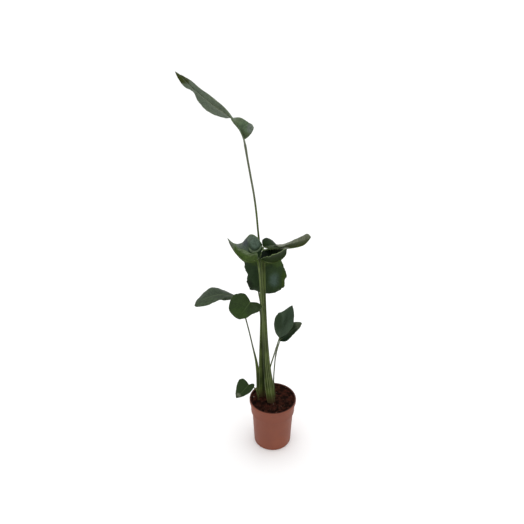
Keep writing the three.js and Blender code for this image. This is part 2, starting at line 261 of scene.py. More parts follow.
def makeStudio(data):
    world = bpy.data.worlds.new("studio")
    world.use_nodes = True
    background = world.node_tree.nodes["Background"]
    background.inputs["Color"].default_value = (*data["sky"], 1)
    background.inputs["Strength"].default_value = data["skyStrength"]
    bpy.context.scene.world = world
    bpy.context.scene.view_settings.view_transform = "Standard"
    finish = Finish("floor", roughness=0.9)
    paper = finish.shade(data["floorColour"], 0.985 + 0.03 * finish.noise(3.0))
    reach = data["floorReach"]
    corners = [(-reach, -reach, 0), (reach, -reach, 0), (reach, reach, 0), (-reach, reach, 0)]
    makeObject("floor", corners, [(0, 1, 2, 3)], finish.done(paper))
    for lamp in data["lights"]:
        light = bpy.data.lights.new(lamp["name"], "AREA")
        light.shape = "DISK"
        light.size = lamp["size"]
        light.energy = lamp["power"]
        holder = bpy.data.objects.new(lamp["name"], light)
        holder.location = lamp["place"]
        x, y, z = np.array(data["lightsAimAt"]) - np.array(lamp["place"])
        holder.rotation_euler = (math.atan2(math.hypot(x, y), -z), 0, math.atan2(x, -y))
        bpy.context.scene.collection.objects.link(holder)


makeStudio(studio)
print("studio and camera ready")


pot = {
    "height": 0.215,
    "rimRadius": 0.095,
    "lipHeight": 0.015,
    "collarHeight": 0.046,
    "collarRadius": 0.0906,
    "shoulderRadius": 0.0835,
    "baseRadius": 0.076,
    "wall": 0.0016,
    "floor": 0.002,
    "collarStep": 0.0026,
    "collarTaper": 0.002,
    "corner": 0.0015,
    "cornerSteps": 5,
    "sides": 168,
    "sharpAngle": 40,
    "drainCount": 6,
    "drainSides": 32,
    "drainRadius": 0.006,
    "drainCircle": 0.058,
    "colour": (0.215, 0.07, 0.042),
    "shade": (0.19, 0.064, 0.042),
    "dirt": (0.012, 0.005, 0.0035),
    "rim": (0.03, 0.011, 0.008),
    "dirtFrom": (0.198, 0.202),
    "roughness": 0.42,
}


# Each corner of a profile becomes a small curve: the midpoint rule between the points a little way
# before and after it, (1-t)^2 before + 2t(1-t) corner + t^2 after.
def roundCorners(profile, radius, steps):
    profile = np.asarray(profile, float)
    t = np.linspace(0, 1, steps)[:, None]
    points = [profile[:1]]
    for before, corner, after in zip(profile, profile[1:], profile[2:]):
        back, on = before - corner, after - corner
        start = corner + back * min(0.45, radius / np.linalg.norm(back))
        end = corner + on * min(0.45, radius / np.linalg.norm(on))
        points.append((1 - t) ** 2 * start + 2 * t * (1 - t) * corner + t ** 2 * end)
    return np.vstack([*points, profile[-1:]])


# A profile of radius and height carried round the upright axis.
def turnProfile(profile, sides):
    angle = np.arange(sides) * 2 * math.pi / sides
    radius, height = profile[:, :1], profile[:, 1:]
    x, y = radius * np.cos(angle), radius * np.sin(angle)
    return np.stack([x, y, np.broadcast_to(height, x.shape)], axis=-1)


def potFinish(data):
    finish = Finish("potPlastic", shine=0.08)
    x, y, z = finish.split(finish.place())
    radius = (x * x + y * y) ** 0.5
    cloud = finish.noise(9.0, detail=4.0)
    streak = finish.noise(26.0, detail=2.0, stretch=(1.0, 1.0, 0.12))
    grain = finish.noise(420.0, detail=2.0)
    colour = finish.blend(finish.step(cloud, 0.38, 0.66), data["shade"], data["colour"])
    colour = finish.shade(colour, 0.94 + 0.08 * streak + 0.05 * grain)
    inside = finish.step(data["collarRadius"] - 0.0005 - radius, 0.0, 0.0012)
    inside = inside * finish.step(z, *data["dirtFrom"])
    splash = finish.step(finish.noise(60.0) - 0.5 + 40.0 * (data["height"] + 0.004 - z), 0.0, 0.12)
    rim = finish.step(z, data["height"] - 0.0012, data["height"] - 0.0004)
    low = finish.step(finish.noise(34.0) - 0.62 + 5.0 * (0.012 - z), 0.0, 0.2)
    colour = finish.blend(inside * splash * 0.95, colour, data["dirt"])
    colour = finish.blend(rim * 0.9, colour, data["rim"])
    collarBase = data["height"] - data["lipHeight"] - data["collarHeight"]
    # Painted shade: a narrow band of the colour is darkened where the collar steps out over the shoulder.
    collarStepShade = finish.step(z, collarBase - 0.003, collarBase) * finish.step(z, collarBase + 0.003, collarBase)
    colour = finish.shade(colour, 1 - 0.22 * collarStepShade)
    colour = finish.blend(low * 0.35, colour, data["dirt"])
    finish.bump(0.6 * grain + 0.4 * finish.noise(1100.0), 0.00012, 0.5)
    return finish.done(colour, data["roughness"] + 0.1 * cloud + 0.25 * inside * splash)


# The pot is one profile, up the outside and down the inside, carried round the axis. Round posts that
# stand on a circle are cut out of its floor as drains.
def makePot(data):
    collarBase = data["height"] - data["lipHeight"] - data["collarHeight"]
    lipBase = data["height"] - data["lipHeight"]
    edge, wall = data["corner"], data["wall"]
    innerRim = data["collarRadius"] - wall
    profile = [
        (0, 0),
        (data["baseRadius"] - 2 * edge, 0),
        (data["baseRadius"], 2 * edge),
        (data["shoulderRadius"], collarBase - edge / 2),
        (data["collarRadius"] - data["collarStep"], collarBase),
        (data["collarRadius"] - data["collarTaper"], collarBase + edge),
        (data["collarRadius"], lipBase - edge / 2),
        (data["rimRadius"] - edge, lipBase),
        (data["rimRadius"], lipBase + edge),
        (data["rimRadius"], data["height"] - 2 * edge),
        (data["rimRadius"] - edge, data["height"]),
        (innerRim + edge, data["height"]),
        (innerRim, data["height"] - 2 * edge),
        (innerRim, lipBase - edge / 2),
        (data["collarRadius"] - data["collarTaper"] - wall, collarBase + edge),
        (data["shoulderRadius"] - wall, collarBase - data["collarStep"]),
        (data["baseRadius"] - wall, data["floor"]),
        (0, data["floor"]),
    ]
    rows = turnProfile(roundCorners(profile, 0.9 * edge, data["cornerSteps"]), data["sides"])
    material = potFinish(data)
    piece = makeObject("potShell", rows, gridFaces(len(rows), data["sides"], joined=True), material)
    weld(piece)
    angle = (np.arange(data["drainCount"]) + 0.5) * 2 * math.pi / data["drainCount"]
    section = np.array([(0, -1), (1, -1), (1, 1), (0, 1)]) * (data["drainRadius"], 3 * data["floor"])
    post = turnProfile(section, data["drainSides"])
    centres = data["drainCircle"] * np.stack([np.cos(angle), np.sin(angle), 0 * angle], axis=-1)
    posts = post[None] + centres[:, None, None]
    faces = gridFaces(len(section), data["drainSides"], joined=True)
    faces = (faces[None] + np.arange(data["drainCount"])[:, None, None] * post[..., 0].size).reshape(-1, 4)
    cutter = makeObject("drainCutter", posts, faces, material)
    weld(cutter)
    cut = piece.modifiers.new("drains", "BOOLEAN")
    cut.operation = "DIFFERENCE"
    cut.solver = "EXACT"
    cut.object = cutter
    graph = bpy.context.evaluated_depsgraph_get()
    piece.data = bpy.data.meshes.new_from_object(piece.evaluated_get(graph))
    piece.modifiers.clear()
    bpy.data.objects.remove(cutter)
    piece.data.set_sharp_from_angle(angle=math.radians(data["sharpAngle"]))
    standFor(piece, "pot")


makePot(pot)
print("pot ready")


soil = {
    "level": 0.206,
    "radius": 0.0885,
    "relief": 0.0022,
    "wallGap": 0.0006,
    "edgeDrop": 0.006,
    "skirt": [(0.083, 0.148), (0.0735, 0.003), (0, 0.003)],
    "rings": 90,
    "sides": 240,
    "seed": 11,
    "crumbs": 900,
    "crumbRimGap": 0.005,
    "crumbSmallest": 0.0009,
    "crumbSpread": 0.0026,
    "crumbShape": [(0.8, 2.0), (0.7, 1.2), (0.4, 0.9)],
    "dark": (0.01, 0.005, 0.004),
    "brown": (0.046, 0.014, 0.009),
    "bark": (0.04, 0.018, 0.012),
    "pale": (0.2, 0.17, 0.14),
}


# Height of the potting mix: two crossed waves, with clods, crumbs and grains on them.
def soilHeight(x, y):
    broad = np.sin(110 * x + 1.3) * np.cos(130 * y) + 0.6 * np.sin(270 * x - 190 * y + 2.1)
    clods = 0.0017 * lumps(x, y, 0.013, 3) + 0.0012 * lumps(x, y, 0.006, 4)
    grains = 0.0008 * lumps(x, y, 0.0028, 5) + 0.0004 * lumps(x, y, 0.0014, 6)
    return soil["level"] + 0.001 + soil["relief"] * broad + clods + grains


def soilFinish(data):
    finish = Finish("peatMix", roughness=0.95, shine=0.0)
    tint = finish.attribute("tint")
    clump = finish.noise(70.0, detail=5.0)
    grain = finish.noise(700.0, detail=3.0)
    colour = finish.blend(finish.step(clump, 0.42, 0.62), data["dark"], data["brown"])
    colour = finish.blend(finish.step(tint, 0.3, 0.9), colour, data["bark"])
    colour = finish.blend(finish.step(tint, 1.6, 1.9), colour, data["pale"])
    colour = finish.shade(colour, 0.55 + 0.9 * grain)
    finish.bump(grain + 0.6 * clump, 0.0009, 0.9)
    return finish.done(colour)


# The soil is a disc of rings whose height follows soilHeight, with a plain wall and floor below.
def makeSoil(data, material):
    reach = data["radius"] - data["wallGap"]
    ring = np.linspace(0, 1, data["rings"]) ** 0.8 * reach
    angle = np.arange(data["sides"]) * 2 * math.pi / data["sides"]
    x, y = ring[:, None] * np.cos(angle), ring[:, None] * np.sin(angle)
    z = soilHeight(x, y)
    skirt = [(reach, data["level"] - data["edgeDrop"]), *data["skirt"]]
    low = turnProfile(np.array(skirt), data["sides"])
    rows = np.concatenate([np.stack([x, y, z], axis=-1), low])
    faces = gridFaces(len(rows), data["sides"], joined=True)[:, ::-1]
    piece = makeObject("pottingMix", rows, faces, material, marks={"tint": np.zeros(rows.shape[:2])})
    weld(piece)
    standFor(piece, "soil")


# Loose bits: one twelve-cornered lump, squashed, turned and scaled for each, lying on the soil.
def makeCrumbs(data, material):
    rng = np.random.default_rng(data["seed"])
    golden = (1 + 5 ** 0.5) / 2
    corner = np.array([(0, a, b * golden) for a in (-1, 1) for b in (-1, 1)])
    corner = unit(np.vstack([corner, corner[:, [2, 0, 1]], corner[:, [1, 2, 0]]]))
    hull = bmesh.new()
    for point in corner:
        hull.verts.new(point)
    bmesh.ops.convex_hull(hull, input=hull.verts)
    hull.verts.index_update()
    corner = np.array([vert.co[:] for vert in hull.verts])
    triangles = np.array([[vert.index for vert in face.verts] for face in hull.faces])
    hull.free()
    count = data["crumbs"]
    reach = np.sqrt(rng.uniform(0, 1, count)) * (data["radius"] - data["crumbRimGap"])
    angle = rng.uniform(0, 2 * math.pi, count)
    x, y = reach * np.cos(angle), reach * np.sin(angle)
    size = data["crumbSmallest"] + data["crumbSpread"] * rng.uniform(0, 1, count) ** 3
    stretch = np.stack([rng.uniform(low, high, count) for low, high in data["crumbShape"]], axis=1)
    shapes = corner[None] * stretch[:, None] * rng.uniform(0.75, 1.2, (count, len(corner), 1))
    turn = rng.uniform(0, 2 * math.pi, count)
    tilt = rng.uniform(-0.5, 0.5, count)
    shapes = turned(shapes, tilt, 1, 2)
    shapes = turned(shapes, turn, 0, 1)
    centre = np.stack([x, y, soilHeight(x, y) + 0.25 * size], axis=-1)
    points = centre[:, None] + shapes * size[:, None, None]
    kind = rng.uniform(0, 1, count)
    tint = np.where(kind < 0.45, 0.1, np.where(kind < 0.985, rng.uniform(0.4, 1.0, count), 2.0))
    faces = (triangles[None] + np.arange(count)[:, None, None] * len(corner)).reshape(-1, 3)
    marks = {"tint": np.repeat(tint, len(corner))}
    piece = makeObject("looseBits", points, faces, material, marks=marks)
    piece.data.polygons.foreach_set("use_smooth", [False] * len(piece.data.polygons))
    standFor(piece, "soil")


# Turns each group of points by its own angle in the plane of two axes.
def turned(shapes, angle, first, second):
    result = shapes.copy()
    cosine, sine = np.cos(angle)[:, None], np.sin(angle)[:, None]
    result[..., first] = shapes[..., first] * cosine - shapes[..., second] * sine
    result[..., second] = shapes[..., first] * sine + shapes[..., second] * cosine
    return result


peatMix = soilFinish(soil)
makeSoil(soil, peatMix)
makeCrumbs(soil, peatMix)
print("soil ready")


# What most leaves share. A leaf states only what differs.
commonLook = {
    "nick": 0.02,
    "pale": 0.35,
    "greyFrom": 0.98,
    "veins": 26,
    "gloss": 0.4,
    "streaks": 0.25,
    "mottle": 0.5,
    "edge": (0.103, 0.118, 0.085),
    "edgeShare": 0.0,
    "rimFrom": 0.975,
    "lower": (0.085, 0.108, 0.068),
    "lowerWarm": (0.098, 0.118, 0.072),
    "rib": (0.158, 0.198, 0.094),
    "keel": (0.085, 0.118, 0.033),
    "rim": (0.134, 0.158, 0.064),
    "rimShare": 0.5,
    "patches": [],
}


# A soft-edged area on one face of a leaf with another colour: its middle and its reach along each axis, in
# millimetres, and how much of the colour it takes. Core is the share of the reach that takes all of it. A
# patch with a ring is only the lower part of the area's edge, as wide as the ring says.
def patchOn(face, at, reach, colour, amount, core=0.45, ring=None):
    at, reach = ([number / 1000 for number in place] for place in (at, reach))
    patch = {"under": face == "under", "at": at, "reach": reach, "colour": colour, "amount": amount}
    return {**patch, "core": core, "ring": ring}


# Each leaf: points in millimetres for its blade's midrib and edges from base to tip, left and right as seen
# on the upper face with the tip up, and for its stalk's path up from the soil. Wave is the height of the
# edge's waves and broad and slim the stalk's half widths, in metres. Sheath is the share of the path where
# the sheath has closed, and flat the stalk's depth over its width at the foot.
leaves = {
    "top": {
        "node": "shoot_right",
        "seed": 1,
        "midrib": [
            (-100, 18, 1263), (-112, 8, 1293), (-126, -2, 1320), (-142, -10, 1342), (-171, -14, 1364),
            (-207, -10, 1387), (-241, -2, 1413), (-277, 6, 1447), (-310, 10, 1475),
        ],
        "left": [
            (-109, -14, 1288), (-128, -32, 1325), (-142, -48, 1349), (-170, -58, 1386), (-206, -56, 1421),
            (-241, -44, 1442), (-278, -22, 1462), (-299, -4, 1472),
        ],
        "right": [
            (-76, 12, 1288), (-71, 8, 1312), (-93, 16, 1324), (-121, 38, 1332), (-161, 60, 1328),
            (-209, 60, 1339), (-245, 48, 1370), (-263, 38, 1413), (-287, 28, 1429), (-302, 18, 1451),
        ],
        "path": [
            (-7, -14, 193), (-17, -14, 291), (-25, -12, 402), (-32, -9, 513), (-37, -5, 627),
            (-40, 0, 726), (-41, 9, 787), (-45, 24, 836), (-50, 34, 864), (-54, 40, 892), (-58, 42, 934),
            (-64, 42, 1006), (-72, 38, 1073), (-82, 33, 1135), (-92, 27, 1198), (-99, 21, 1246),
        ],
        "wave": 0.004, "waves": 3, "broad": 0.012, "slim": 0.0036, "sheath": 0.55, "flat": 0.75,
        "nick": 0.05, "mottle": 1.1,
        "upper": (0.057, 0.08, 0.038), "upperWarm": (0.068, 0.098, 0.047),
        "lower": (0.072, 0.096, 0.063), "lowerWarm": (0.089, 0.113, 0.074),
        "keel": (0.191, 0.219, 0.152),
        "patches": [
            patchOn("under", (-290, 0, 1459), (36, 60, 32), (0.023, 0.033, 0.001), 1, core=0.6),
            patchOn("upper", (-95, 0, 1309), (30, 60, 24), (0.085, 0.129, 0.072), 0.85),
            patchOn("upper", (-81, 10, 1304), (14, 60, 22), (0.113, 0.134, 0.113), 0.8),
        ],
    },
    "right": {
        "node": "shoot_right",
        "seed": 4,
        "midrib": [
            (-42, 26, 883), (-19, 16, 881), (9, 4, 884), (44, -3, 889), (79, -4, 892), (108, -1, 904),
            (128, 4, 928),
        ],
        "left": [
            (-43, 42, 899), (-27, 54, 904), (-8, 60, 891), (10, 58, 875), (46, 52, 886), (88, 42, 907),
            (115, 26, 931),
        ],
        "right": [
            (-20, -10, 900), (6, -40, 913), (37, -56, 924), (75, -48, 930), (108, -24, 931),
        ],
        "path": [
            (-6, -14, 193), (-15, -12, 289), (-21, -8, 399), (-27, -6, 511), (-31, -5, 627),
            (-34, -4, 728), (-35, 7, 797), (-36, 24, 840), (-40, 32, 865),
        ],
        "wave": 0.0025, "waves": 3, "broad": 0.014, "slim": 0.0038, "sheath": 0.62, "flat": 0.7,
        "mottle": 1.3,
        "upper": (0.085, 0.098, 0.061), "upperWarm": (0.11, 0.121, 0.076),
        "lower": (0.017, 0.027, 0.001), "lowerWarm": (0.036, 0.047, 0.006),
        # The keel colour is partly the midrib's own pale green and partly painted highlight, made lighter
        # against the shade on the underside.
        "keel": (0.219, 0.292, 0.14), "rim": (0.057, 0.076, 0.03),
        "patches": [
            patchOn("upper", (-26, 45, 892), (44, 80, 34), (0.006, 0.019, 0.001), 1, core=0.66),
            # Painted highlight: the near half's underside by the base is painted pale, as if lit.
            patchOn("under", (-5, 0, 891), (46, 34, 18), (0.301, 0.409, 0.227), 0.9, core=0.5),
            patchOn("under", (60, -30, 910), (44, 60, 9), (0.015, 0.026, 0.001), 0.92),
            patchOn("under", (97, -25, 921), (44, 60, 11), (0.019, 0.03, 0.001), 0.9),
        ],
    },
    "left": {
        "node": "shoot_right",
        "seed": 7,
        "midrib": [
            (-59, -34, 858), (-77, -29, 849), (-103, -44, 857), (-123, -46, 876), (-140, -40, 896),
            (-154, -17, 908), (-165, 0, 926),
        ],
        "left": [
            (-62, -44, 891), (-85, -58, 896), (-108, -57, 908), (-129, -54, 919), (-149, -30, 925),
        ],
        "right": [
            (-48, -8, 872), (-42, 13, 891), (-62, 24, 919), (-82, 35, 926), (-101, 40, 908),
            (-119, 41, 888), (-144, 32, 892), (-158, 14, 912),
        ],
        "path": [
            (-15, -20, 198), (-26, -22, 297), (-34, -21, 409), (-37, -18, 519), (-41, -17, 617),
            (-47, -18, 695), (-51, -22, 771), (-55, -28, 822),
        ],
        "wave": 0.0025, "waves": 3, "broad": 0.0075, "slim": 0.0036, "sheath": 0.75, "flat": 0.85,
        "nick": 0.03, "pale": 0.95, "mottle": 1.3, "edgeShare": 0.75, "rimFrom": 0.95, "rimShare": 0.9,
        "upper": (0.05, 0.072, 0.05), "upperWarm": (0.068, 0.091, 0.068),
        "lower": (0.026, 0.054, 0.006), "lowerWarm": (0.05, 0.08, 0.019),
        "edge": (0.103, 0.134, 0.076), "keel": (0.041, 0.072, 0.009), "rim": (0.076, 0.113, 0.038),
        "patches": [
            # Painted shade: the base of the upper face is darkened in and under the lobe that curls there;
            # the mesh has no curl.
            patchOn("upper", (-60, 5, 879), (44, 42, 36), (0.003, 0.015, 0.001), 1, core=0.8),
            patchOn("under", (-63, -48, 894), (26, 20, 9), (0.017, 0.041, 0.006), 0.9, core=0.7),
            patchOn("upper", (-67, 5, 904), (25, 60, 23), (0.07, 0.105, 0.078), 0.85, core=0.5),
            patchOn("upper", (-106, 30, 901), (18, 60, 12), (0.028, 0.037, 0.041), 0.85),
            patchOn("under", (-152, -12, 910), (24, 50, 26), (0.103, 0.118, 0.085), 0.8),
            # Painted highlight: a pale arc stands for the lit lower edge of that curled lobe.
            patchOn("upper", (-67, 5, 903), (24, 120, 25), (0.146, 0.191, 0.118), 0.65, ring=0.15),
        ],
    },
    "cupped": {
        "node": "shoot_right",
        "seed": 10,
        "midrib": [
            (-49, -20, 854), (-30, -28, 846), (-5, -30, 845), (19, -36, 858), (37, -38, 878),
            (42, -36, 902),
        ],
        "left": [
            (-43, 2, 878), (-30, 12, 879), (-5, 24, 875), (23, 12, 880),
        ],
        "right": [
            (-35, -56, 880), (-13, -70, 890), (7, -76, 904), (27, -68, 912),
        ],
        "path": [
            (-9, -18, 197), (-19, -18, 294), (-28, -17, 406), (-33, -15, 517), (-38, -14, 632),
            (-42, -14, 734), (-45, -15, 800),
        ],
        "wave": 0.002, "waves": 2, "broad": 0.0125, "slim": 0.0038, "sheath": 0.62, "flat": 0.72,
        "nick": 0.03, "pale": 0.6, "mottle": 0.8, "edgeShare": 0.5, "rimFrom": 0.88, "rimShare": 0.85,
        # Painted shade: the upper face, the inside of the cup, is near black.
        "upper": (0.001, 0.004, 0.001), "upperWarm": (0.001, 0.008, 0.001),
        "lower": (0.008, 0.018, 0.001), "lowerWarm": (0.017, 0.033, 0.004),
        # The pale rim along the near margin is partly the margin's own paler green and partly painted
        # highlight.
        "edge": (0.033, 0.044, 0.021), "keel": (0.026, 0.044, 0.006), "rim": (0.184, 0.25, 0.103),
    },
    "hanging": {
        "node": "shoot_left",
        "seed": 13,
        "midrib": [
            (-56, 48, 847), (-56, 38, 828), (-53, 29, 802), (-50, 32, 763), (-48, 38, 722), (-47, 48, 680),
        ],
        "left": [
            (-15, 64, 824), (26, 60, 813), (38, 44, 790), (47, 38, 752), (39, 42, 711), (13, 46, 683),
            (-21, 50, 674),
        ],
        "right": [
            (-96, 62, 821), (-114, 60, 807), (-105, 44, 782), (-99, 38, 756), (-102, 40, 730),
            (-91, 44, 699), (-70, 48, 687),
        ],
        "path": [
            (-44, 20, 190), (-44, 19, 264), (-44, 18, 380), (-44, 17, 495), (-43, 18, 586), (-49, 30, 645),
            (-56, 52, 676), (-61, 60, 727), (-63, 58, 787),
        ],
        "wave": 0.005, "waves": 5, "broad": 0.0145, "slim": 0.0032, "sheath": 0.66, "flat": 0.75,
        "nick": 0.055, "pale": 0.75, "veins": 30, "streaks": 0.7,
        "upper": (0.013, 0.029, 0.008), "upperWarm": (0.019, 0.038, 0.011),
        "patches": [
            # Painted sheen: a pale bluish patch stands for light reflected off the upper face.
            patchOn("upper", (0, 36, 742), (26, 60, 46), (0.056, 0.091, 0.074), 0.85, core=0),
            patchOn("upper", (36, 40, 742), (12, 60, 60), (0.023, 0.044, 0.002), 0.85),
            patchOn("upper", (-93, 44, 719), (22, 60, 30), (0.003, 0.009, 0.001), 0.8),
            patchOn("upper", (-44, 40, 813), (70, 50, 16), (0.028, 0.05, 0.008), 0.7),
            patchOn("upper", (15, 58, 808), (30, 60, 20), (0.038, 0.068, 0.012), 0.7),
        ],
    },
    "low_left": {
        "node": "shoot_left",
        "seed": 16,
        "midrib": [
            (-137, 18, 680), (-163, 14, 685), (-196, 8, 693), (-232, 2, 689), (-266, -4, 676),
            (-295, -8, 655),
        ],
        "left": [
            (-162, -8, 681), (-193, -26, 690), (-226, -34, 681), (-260, -30, 666), (-284, -18, 656),
        ],
        "right": [
            (-161, 44, 679), (-192, 56, 686), (-223, 58, 700), (-255, 48, 687), (-285, 24, 668),
        ],
        "path": [
            (-56, 20, 190), (-57, 20, 263), (-61, 20, 329), (-68, 20, 388), (-81, 21, 455), (-96, 21, 534),
            (-114, 20, 611),
        ],
        "wave": 0.0025, "waves": 3, "broad": 0.013, "slim": 0.0028, "sheath": 0.8, "flat": 0.7,
        "greyFrom": 0.36, "mottle": 1.3,
        "upper": (0.033, 0.05, 0.028), "upperWarm": (0.044, 0.064, 0.033),
        "rib": (0.085, 0.108, 0.061),
    },
    "heart": {
        "node": "shoot_left",
        "seed": 19,
        "midrib": [
            (-85, -44, 693), (-96, -58, 685), (-109, -70, 671), (-121, -77, 659), (-134, -83, 647),
        ],
        "left": [
            (-57, -40, 687), (-43, -56, 680), (-56, -82, 677), (-81, -98, 671), (-104, -98, 658),
            (-121, -90, 648),
        ],
        "right": [
            (-101, -24, 711), (-122, -18, 716), (-146, -22, 709), (-161, -40, 691), (-163, -60, 671),
            (-149, -76, 656),
        ],
        "path": [
            (-48, 18, 191), (-47, 17, 265), (-48, 16, 381), (-47, 16, 496), (-47, 15, 570), (-49, 10, 609),
            (-54, -2, 640), (-65, -18, 662), (-75, -30, 675),
        ],
        "wave": 0.0025, "waves": 4, "broad": 0.0126, "slim": 0.0034, "sheath": 0.72, "flat": 0.8,
        "mottle": 0.8,
        "upper": (0.017, 0.034, 0.008), "upperWarm": (0.024, 0.044, 0.011),
        "rib": (0.044, 0.072, 0.023),
        "patches": [
            patchOn("upper", (-123, -72, 664), (44, 60, 22), (0.028, 0.057, 0.01), 0.6),
            patchOn("upper", (-66, -58, 676), (26, 60, 20), (0.028, 0.044, 0.019), 0.7),
        ],
    },
    "upper_right": {
        "node": "shoot_right",
        "seed": 22,
        "midrib": [
            (22, -14, 516), (29, -22, 554), (42, -26, 596), (54, -27, 636), (68, -20, 666),
        ],
        "left": [
            (6, -22, 549), (0, -34, 597), (7, -42, 632), (27, -40, 649), (49, -30, 659),
        ],
        "right": [
            (48, -30, 545), (67, -44, 584), (74, -44, 621), (73, -28, 645),
        ],
        "path": [
            (-1, -12, 191), (-6, -11, 288), (-13, -8, 361), (-10, -9, 383), (-1, -10, 420), (11, -12, 469),
        ],
        "wave": 0.0025, "waves": 3, "broad": 0.013, "slim": 0.0027, "sheath": 0.72, "flat": 0.7,
        "greyFrom": 0.36,
        "upper": (0.028, 0.047, 0.026), "upperWarm": (0.036, 0.057, 0.033),
        "rib": (0.041, 0.068, 0.033),
        "patches": [
            patchOn("upper", (17, -34, 601), (18, 60, 60), (0.012, 0.026, 0.008), 0.9),
        ],
    },
    "lower_right": {
        "node": "stalk_lower_right",
        "seed": 25,
        "midrib": [
            (22, 10, 486), (43, 8, 507), (67, 6, 534), (90, 8, 554), (109, 12, 567),
        ],
        "left": [
            (28, 36, 503), (50, 48, 525), (76, 46, 546), (99, 32, 560),
        ],
        "right": [
            (46, -14, 501), (68, -24, 528), (88, -16, 551), (103, 0, 560),
        ],
        "path": [
            (11, 12, 197), (6, 12, 244), (3, 12, 300), (6, 13, 364), (11, 13, 422),
        ],
        "wave": 0.002, "waves": 2, "broad": 0.006, "slim": 0.0025, "sheath": 0.5, "flat": 0.9,
        "greyFrom": 0.24, "gloss": 0.68,
        "upper": (0.005, 0.015, 0.002), "upperWarm": (0.009, 0.021, 0.004),
        "rib": (0.028, 0.047, 0.019),
        "patches": [
            patchOn("upper", (45, 20, 507), (34, 80, 22), (0.001, 0.012, 0.001), 1, core=0.6),
            patchOn("upper", (100, 20, 557), (22, 60, 18), (0.068, 0.085, 0.05), 0.8),
        ],
    },
    "small": {
        "node": "stalk_small",
        "seed": 28,
        "midrib": [
            (-94, -62, 332), (-108, -70, 320), (-125, -78, 304), (-145, -80, 280),
        ],
        "left": [
            (-80, -60, 336), (-73, -62, 330), (-79, -76, 321), (-94, -88, 312), (-116, -92, 299),
            (-131, -84, 287),
        ],
        "right": [
            (-106, -52, 343), (-119, -48, 351), (-134, -48, 344), (-142, -56, 325), (-147, -71, 303),
        ],
        "path": [
            (-58, -6, 207), (-60, -16, 247), (-68, -32, 283), (-81, -48, 310),
        ],
        "wave": 0.0015, "waves": 3, "broad": 0.0045, "slim": 0.0022, "sheath": 0.6, "flat": 0.9,
        "veins": 18,
        "upper": (0.012, 0.026, 0.005), "upperWarm": (0.017, 0.033, 0.008),
        "rib": (0.038, 0.064, 0.019),
        "patches": [
            patchOn("upper", (-135, -80, 296), (12, 50, 10), (0.118, 0.129, 0.089), 0.8),
        ],
    },
}


# How every blade and stalk is made. Shares run from 0 at a blade's base to 1 at its tip. The stalk's
# channel lies at an angle in radians round it, and marginsApart is half the angle between its margins,
# at the top of the stalk and in the sheath at its foot.
growth = {
    "footCut": 0.03,
    "tipCut": 0.99,
    "ribEnd": 0.985,
    "tipReach": 1.35,
    "arch": 0.06,
    "waveShift": 2.4,
    "bladeRows": 190,
    "halfColumns": 26,
    "thickness": 0.0009,
    "edgeThickness": 0.0004,
    "veinHeight": 0.00022,
    "sharpestFold": 0.4,
    "stalkRows": 150,
    "ribRows": 90,
    "stalkSides": 36,
    "footDepth": 0.06,
    "channelAngle": -1.57,
    "channelDepth": 0.16,
    "marginsApart": (0.42, 1.1),
    "marginWidth": 0.17,
    "marginHeight": 0.045,
    "ribShare": 0.85,
    "ribTip": 0.0006,
}


# Points of a blade on a grid of rows and columns. A row runs from the midrib out to each edge, and
# the edge point is further along its own curve. To the straight line between them it adds an arch,
# 4s(1-s), waves that grow as s^3 and a frill that grows as s^5, where s is the share of the way out.
def bladeSurface(leaf, shape):
    rows, half = shape["bladeRows"], shape["halfColumns"]
    step = np.linspace(0, 1, rows)
    along = lerp(shape["footCut"], shape["tipCut"], step)
    onRib = lerp(shape["footCut"], shape["ribEnd"], step) ** shape["tipReach"]
    root = curveAt(leaf["midrib"], onRib)
    heading = unit(np.gradient(root, axis=0))
    share = (np.arange(half + 1) / half)[None, :, None]
    sides = []
    for side, rail in enumerate(("left", "right")):
        edge = curveAt([leaf["midrib"][0], *leaf[rail], leaf["midrib"][-1]], along)
        reach = ((edge - root) * (1 - nickAt(leaf, along, side))[:, None])[:, None]
        up = unit(np.cross(reach[:, 0], heading) * (1 if side else -1))[:, None]
        length = np.linalg.norm(reach, axis=-1, keepdims=True)
        ripple = np.sin(2 * math.pi * leaf["waves"] * along + shape["waveShift"] * side)
        wave = (leaf["wave"] * ripple * np.sin(math.pi * along))[:, None, None]
        frill = frillAt(leaf, along, side)[:, None, None] * length
        lift = shape["arch"] * 4 * share * (1 - share) * length + share ** 3 * wave + share ** 5 * frill
        points = root[:, None] + reach * share + up * lift
        span = length[..., 0] * share[..., 0] * (1 if side else -1)
        sides.append((points, span, np.broadcast_to(share[..., 0], span.shape)))
    points, span, share = (np.concatenate([a[:, ::-1], b[:, 1:]], axis=1) for a, b in zip(*sides))
    down = np.cumsum(np.r_[0, np.linalg.norm(np.diff(root, axis=0), axis=1)])
    return points, span, share, np.broadcast_to(down[:, None], span.shape), along


# Fine uneven frill of an edge, as a share of the blade's half width.
def frillAt(leaf, along, side):
    seed = leaf["seed"] + side
    slow = lumps(along, 0 * along, 0.055, seed)
    quick = lumps(along, 0 * along, 0.018, seed + 20)
    return (0.03 * slow + 0.012 * quick) * np.sin(math.pi * along)


# Small uneven nicks that cut an edge back, as a share of the blade's half width.
def nickAt(leaf, along, side):
    return leaf["nick"] * np.maximum(0, lumps(along, 0 * along, 0.035, leaf["seed"] + side + 40))


# The direction along a grid at each point: the steps to both sides of it count alike.
def evenStep(points, axis):
    step = unit(np.diff(points, axis=axis))
    before = np.concatenate([step.take([0], axis), step], axis)
    return before / 2 + np.concatenate([step, step.take([-1], axis)], axis) / 2


# The vector out of the upper face at each point of a grid: 1 long, and longer at a fold, as at a mitre.
def upperNormal(points, shape):
    across = evenStep(points, 1)
    openness = np.maximum(np.linalg.norm(across, axis=-1, keepdims=True), shape["sharpestFold"])
    return -unit(np.cross(evenStep(points, 0), across)) / openness


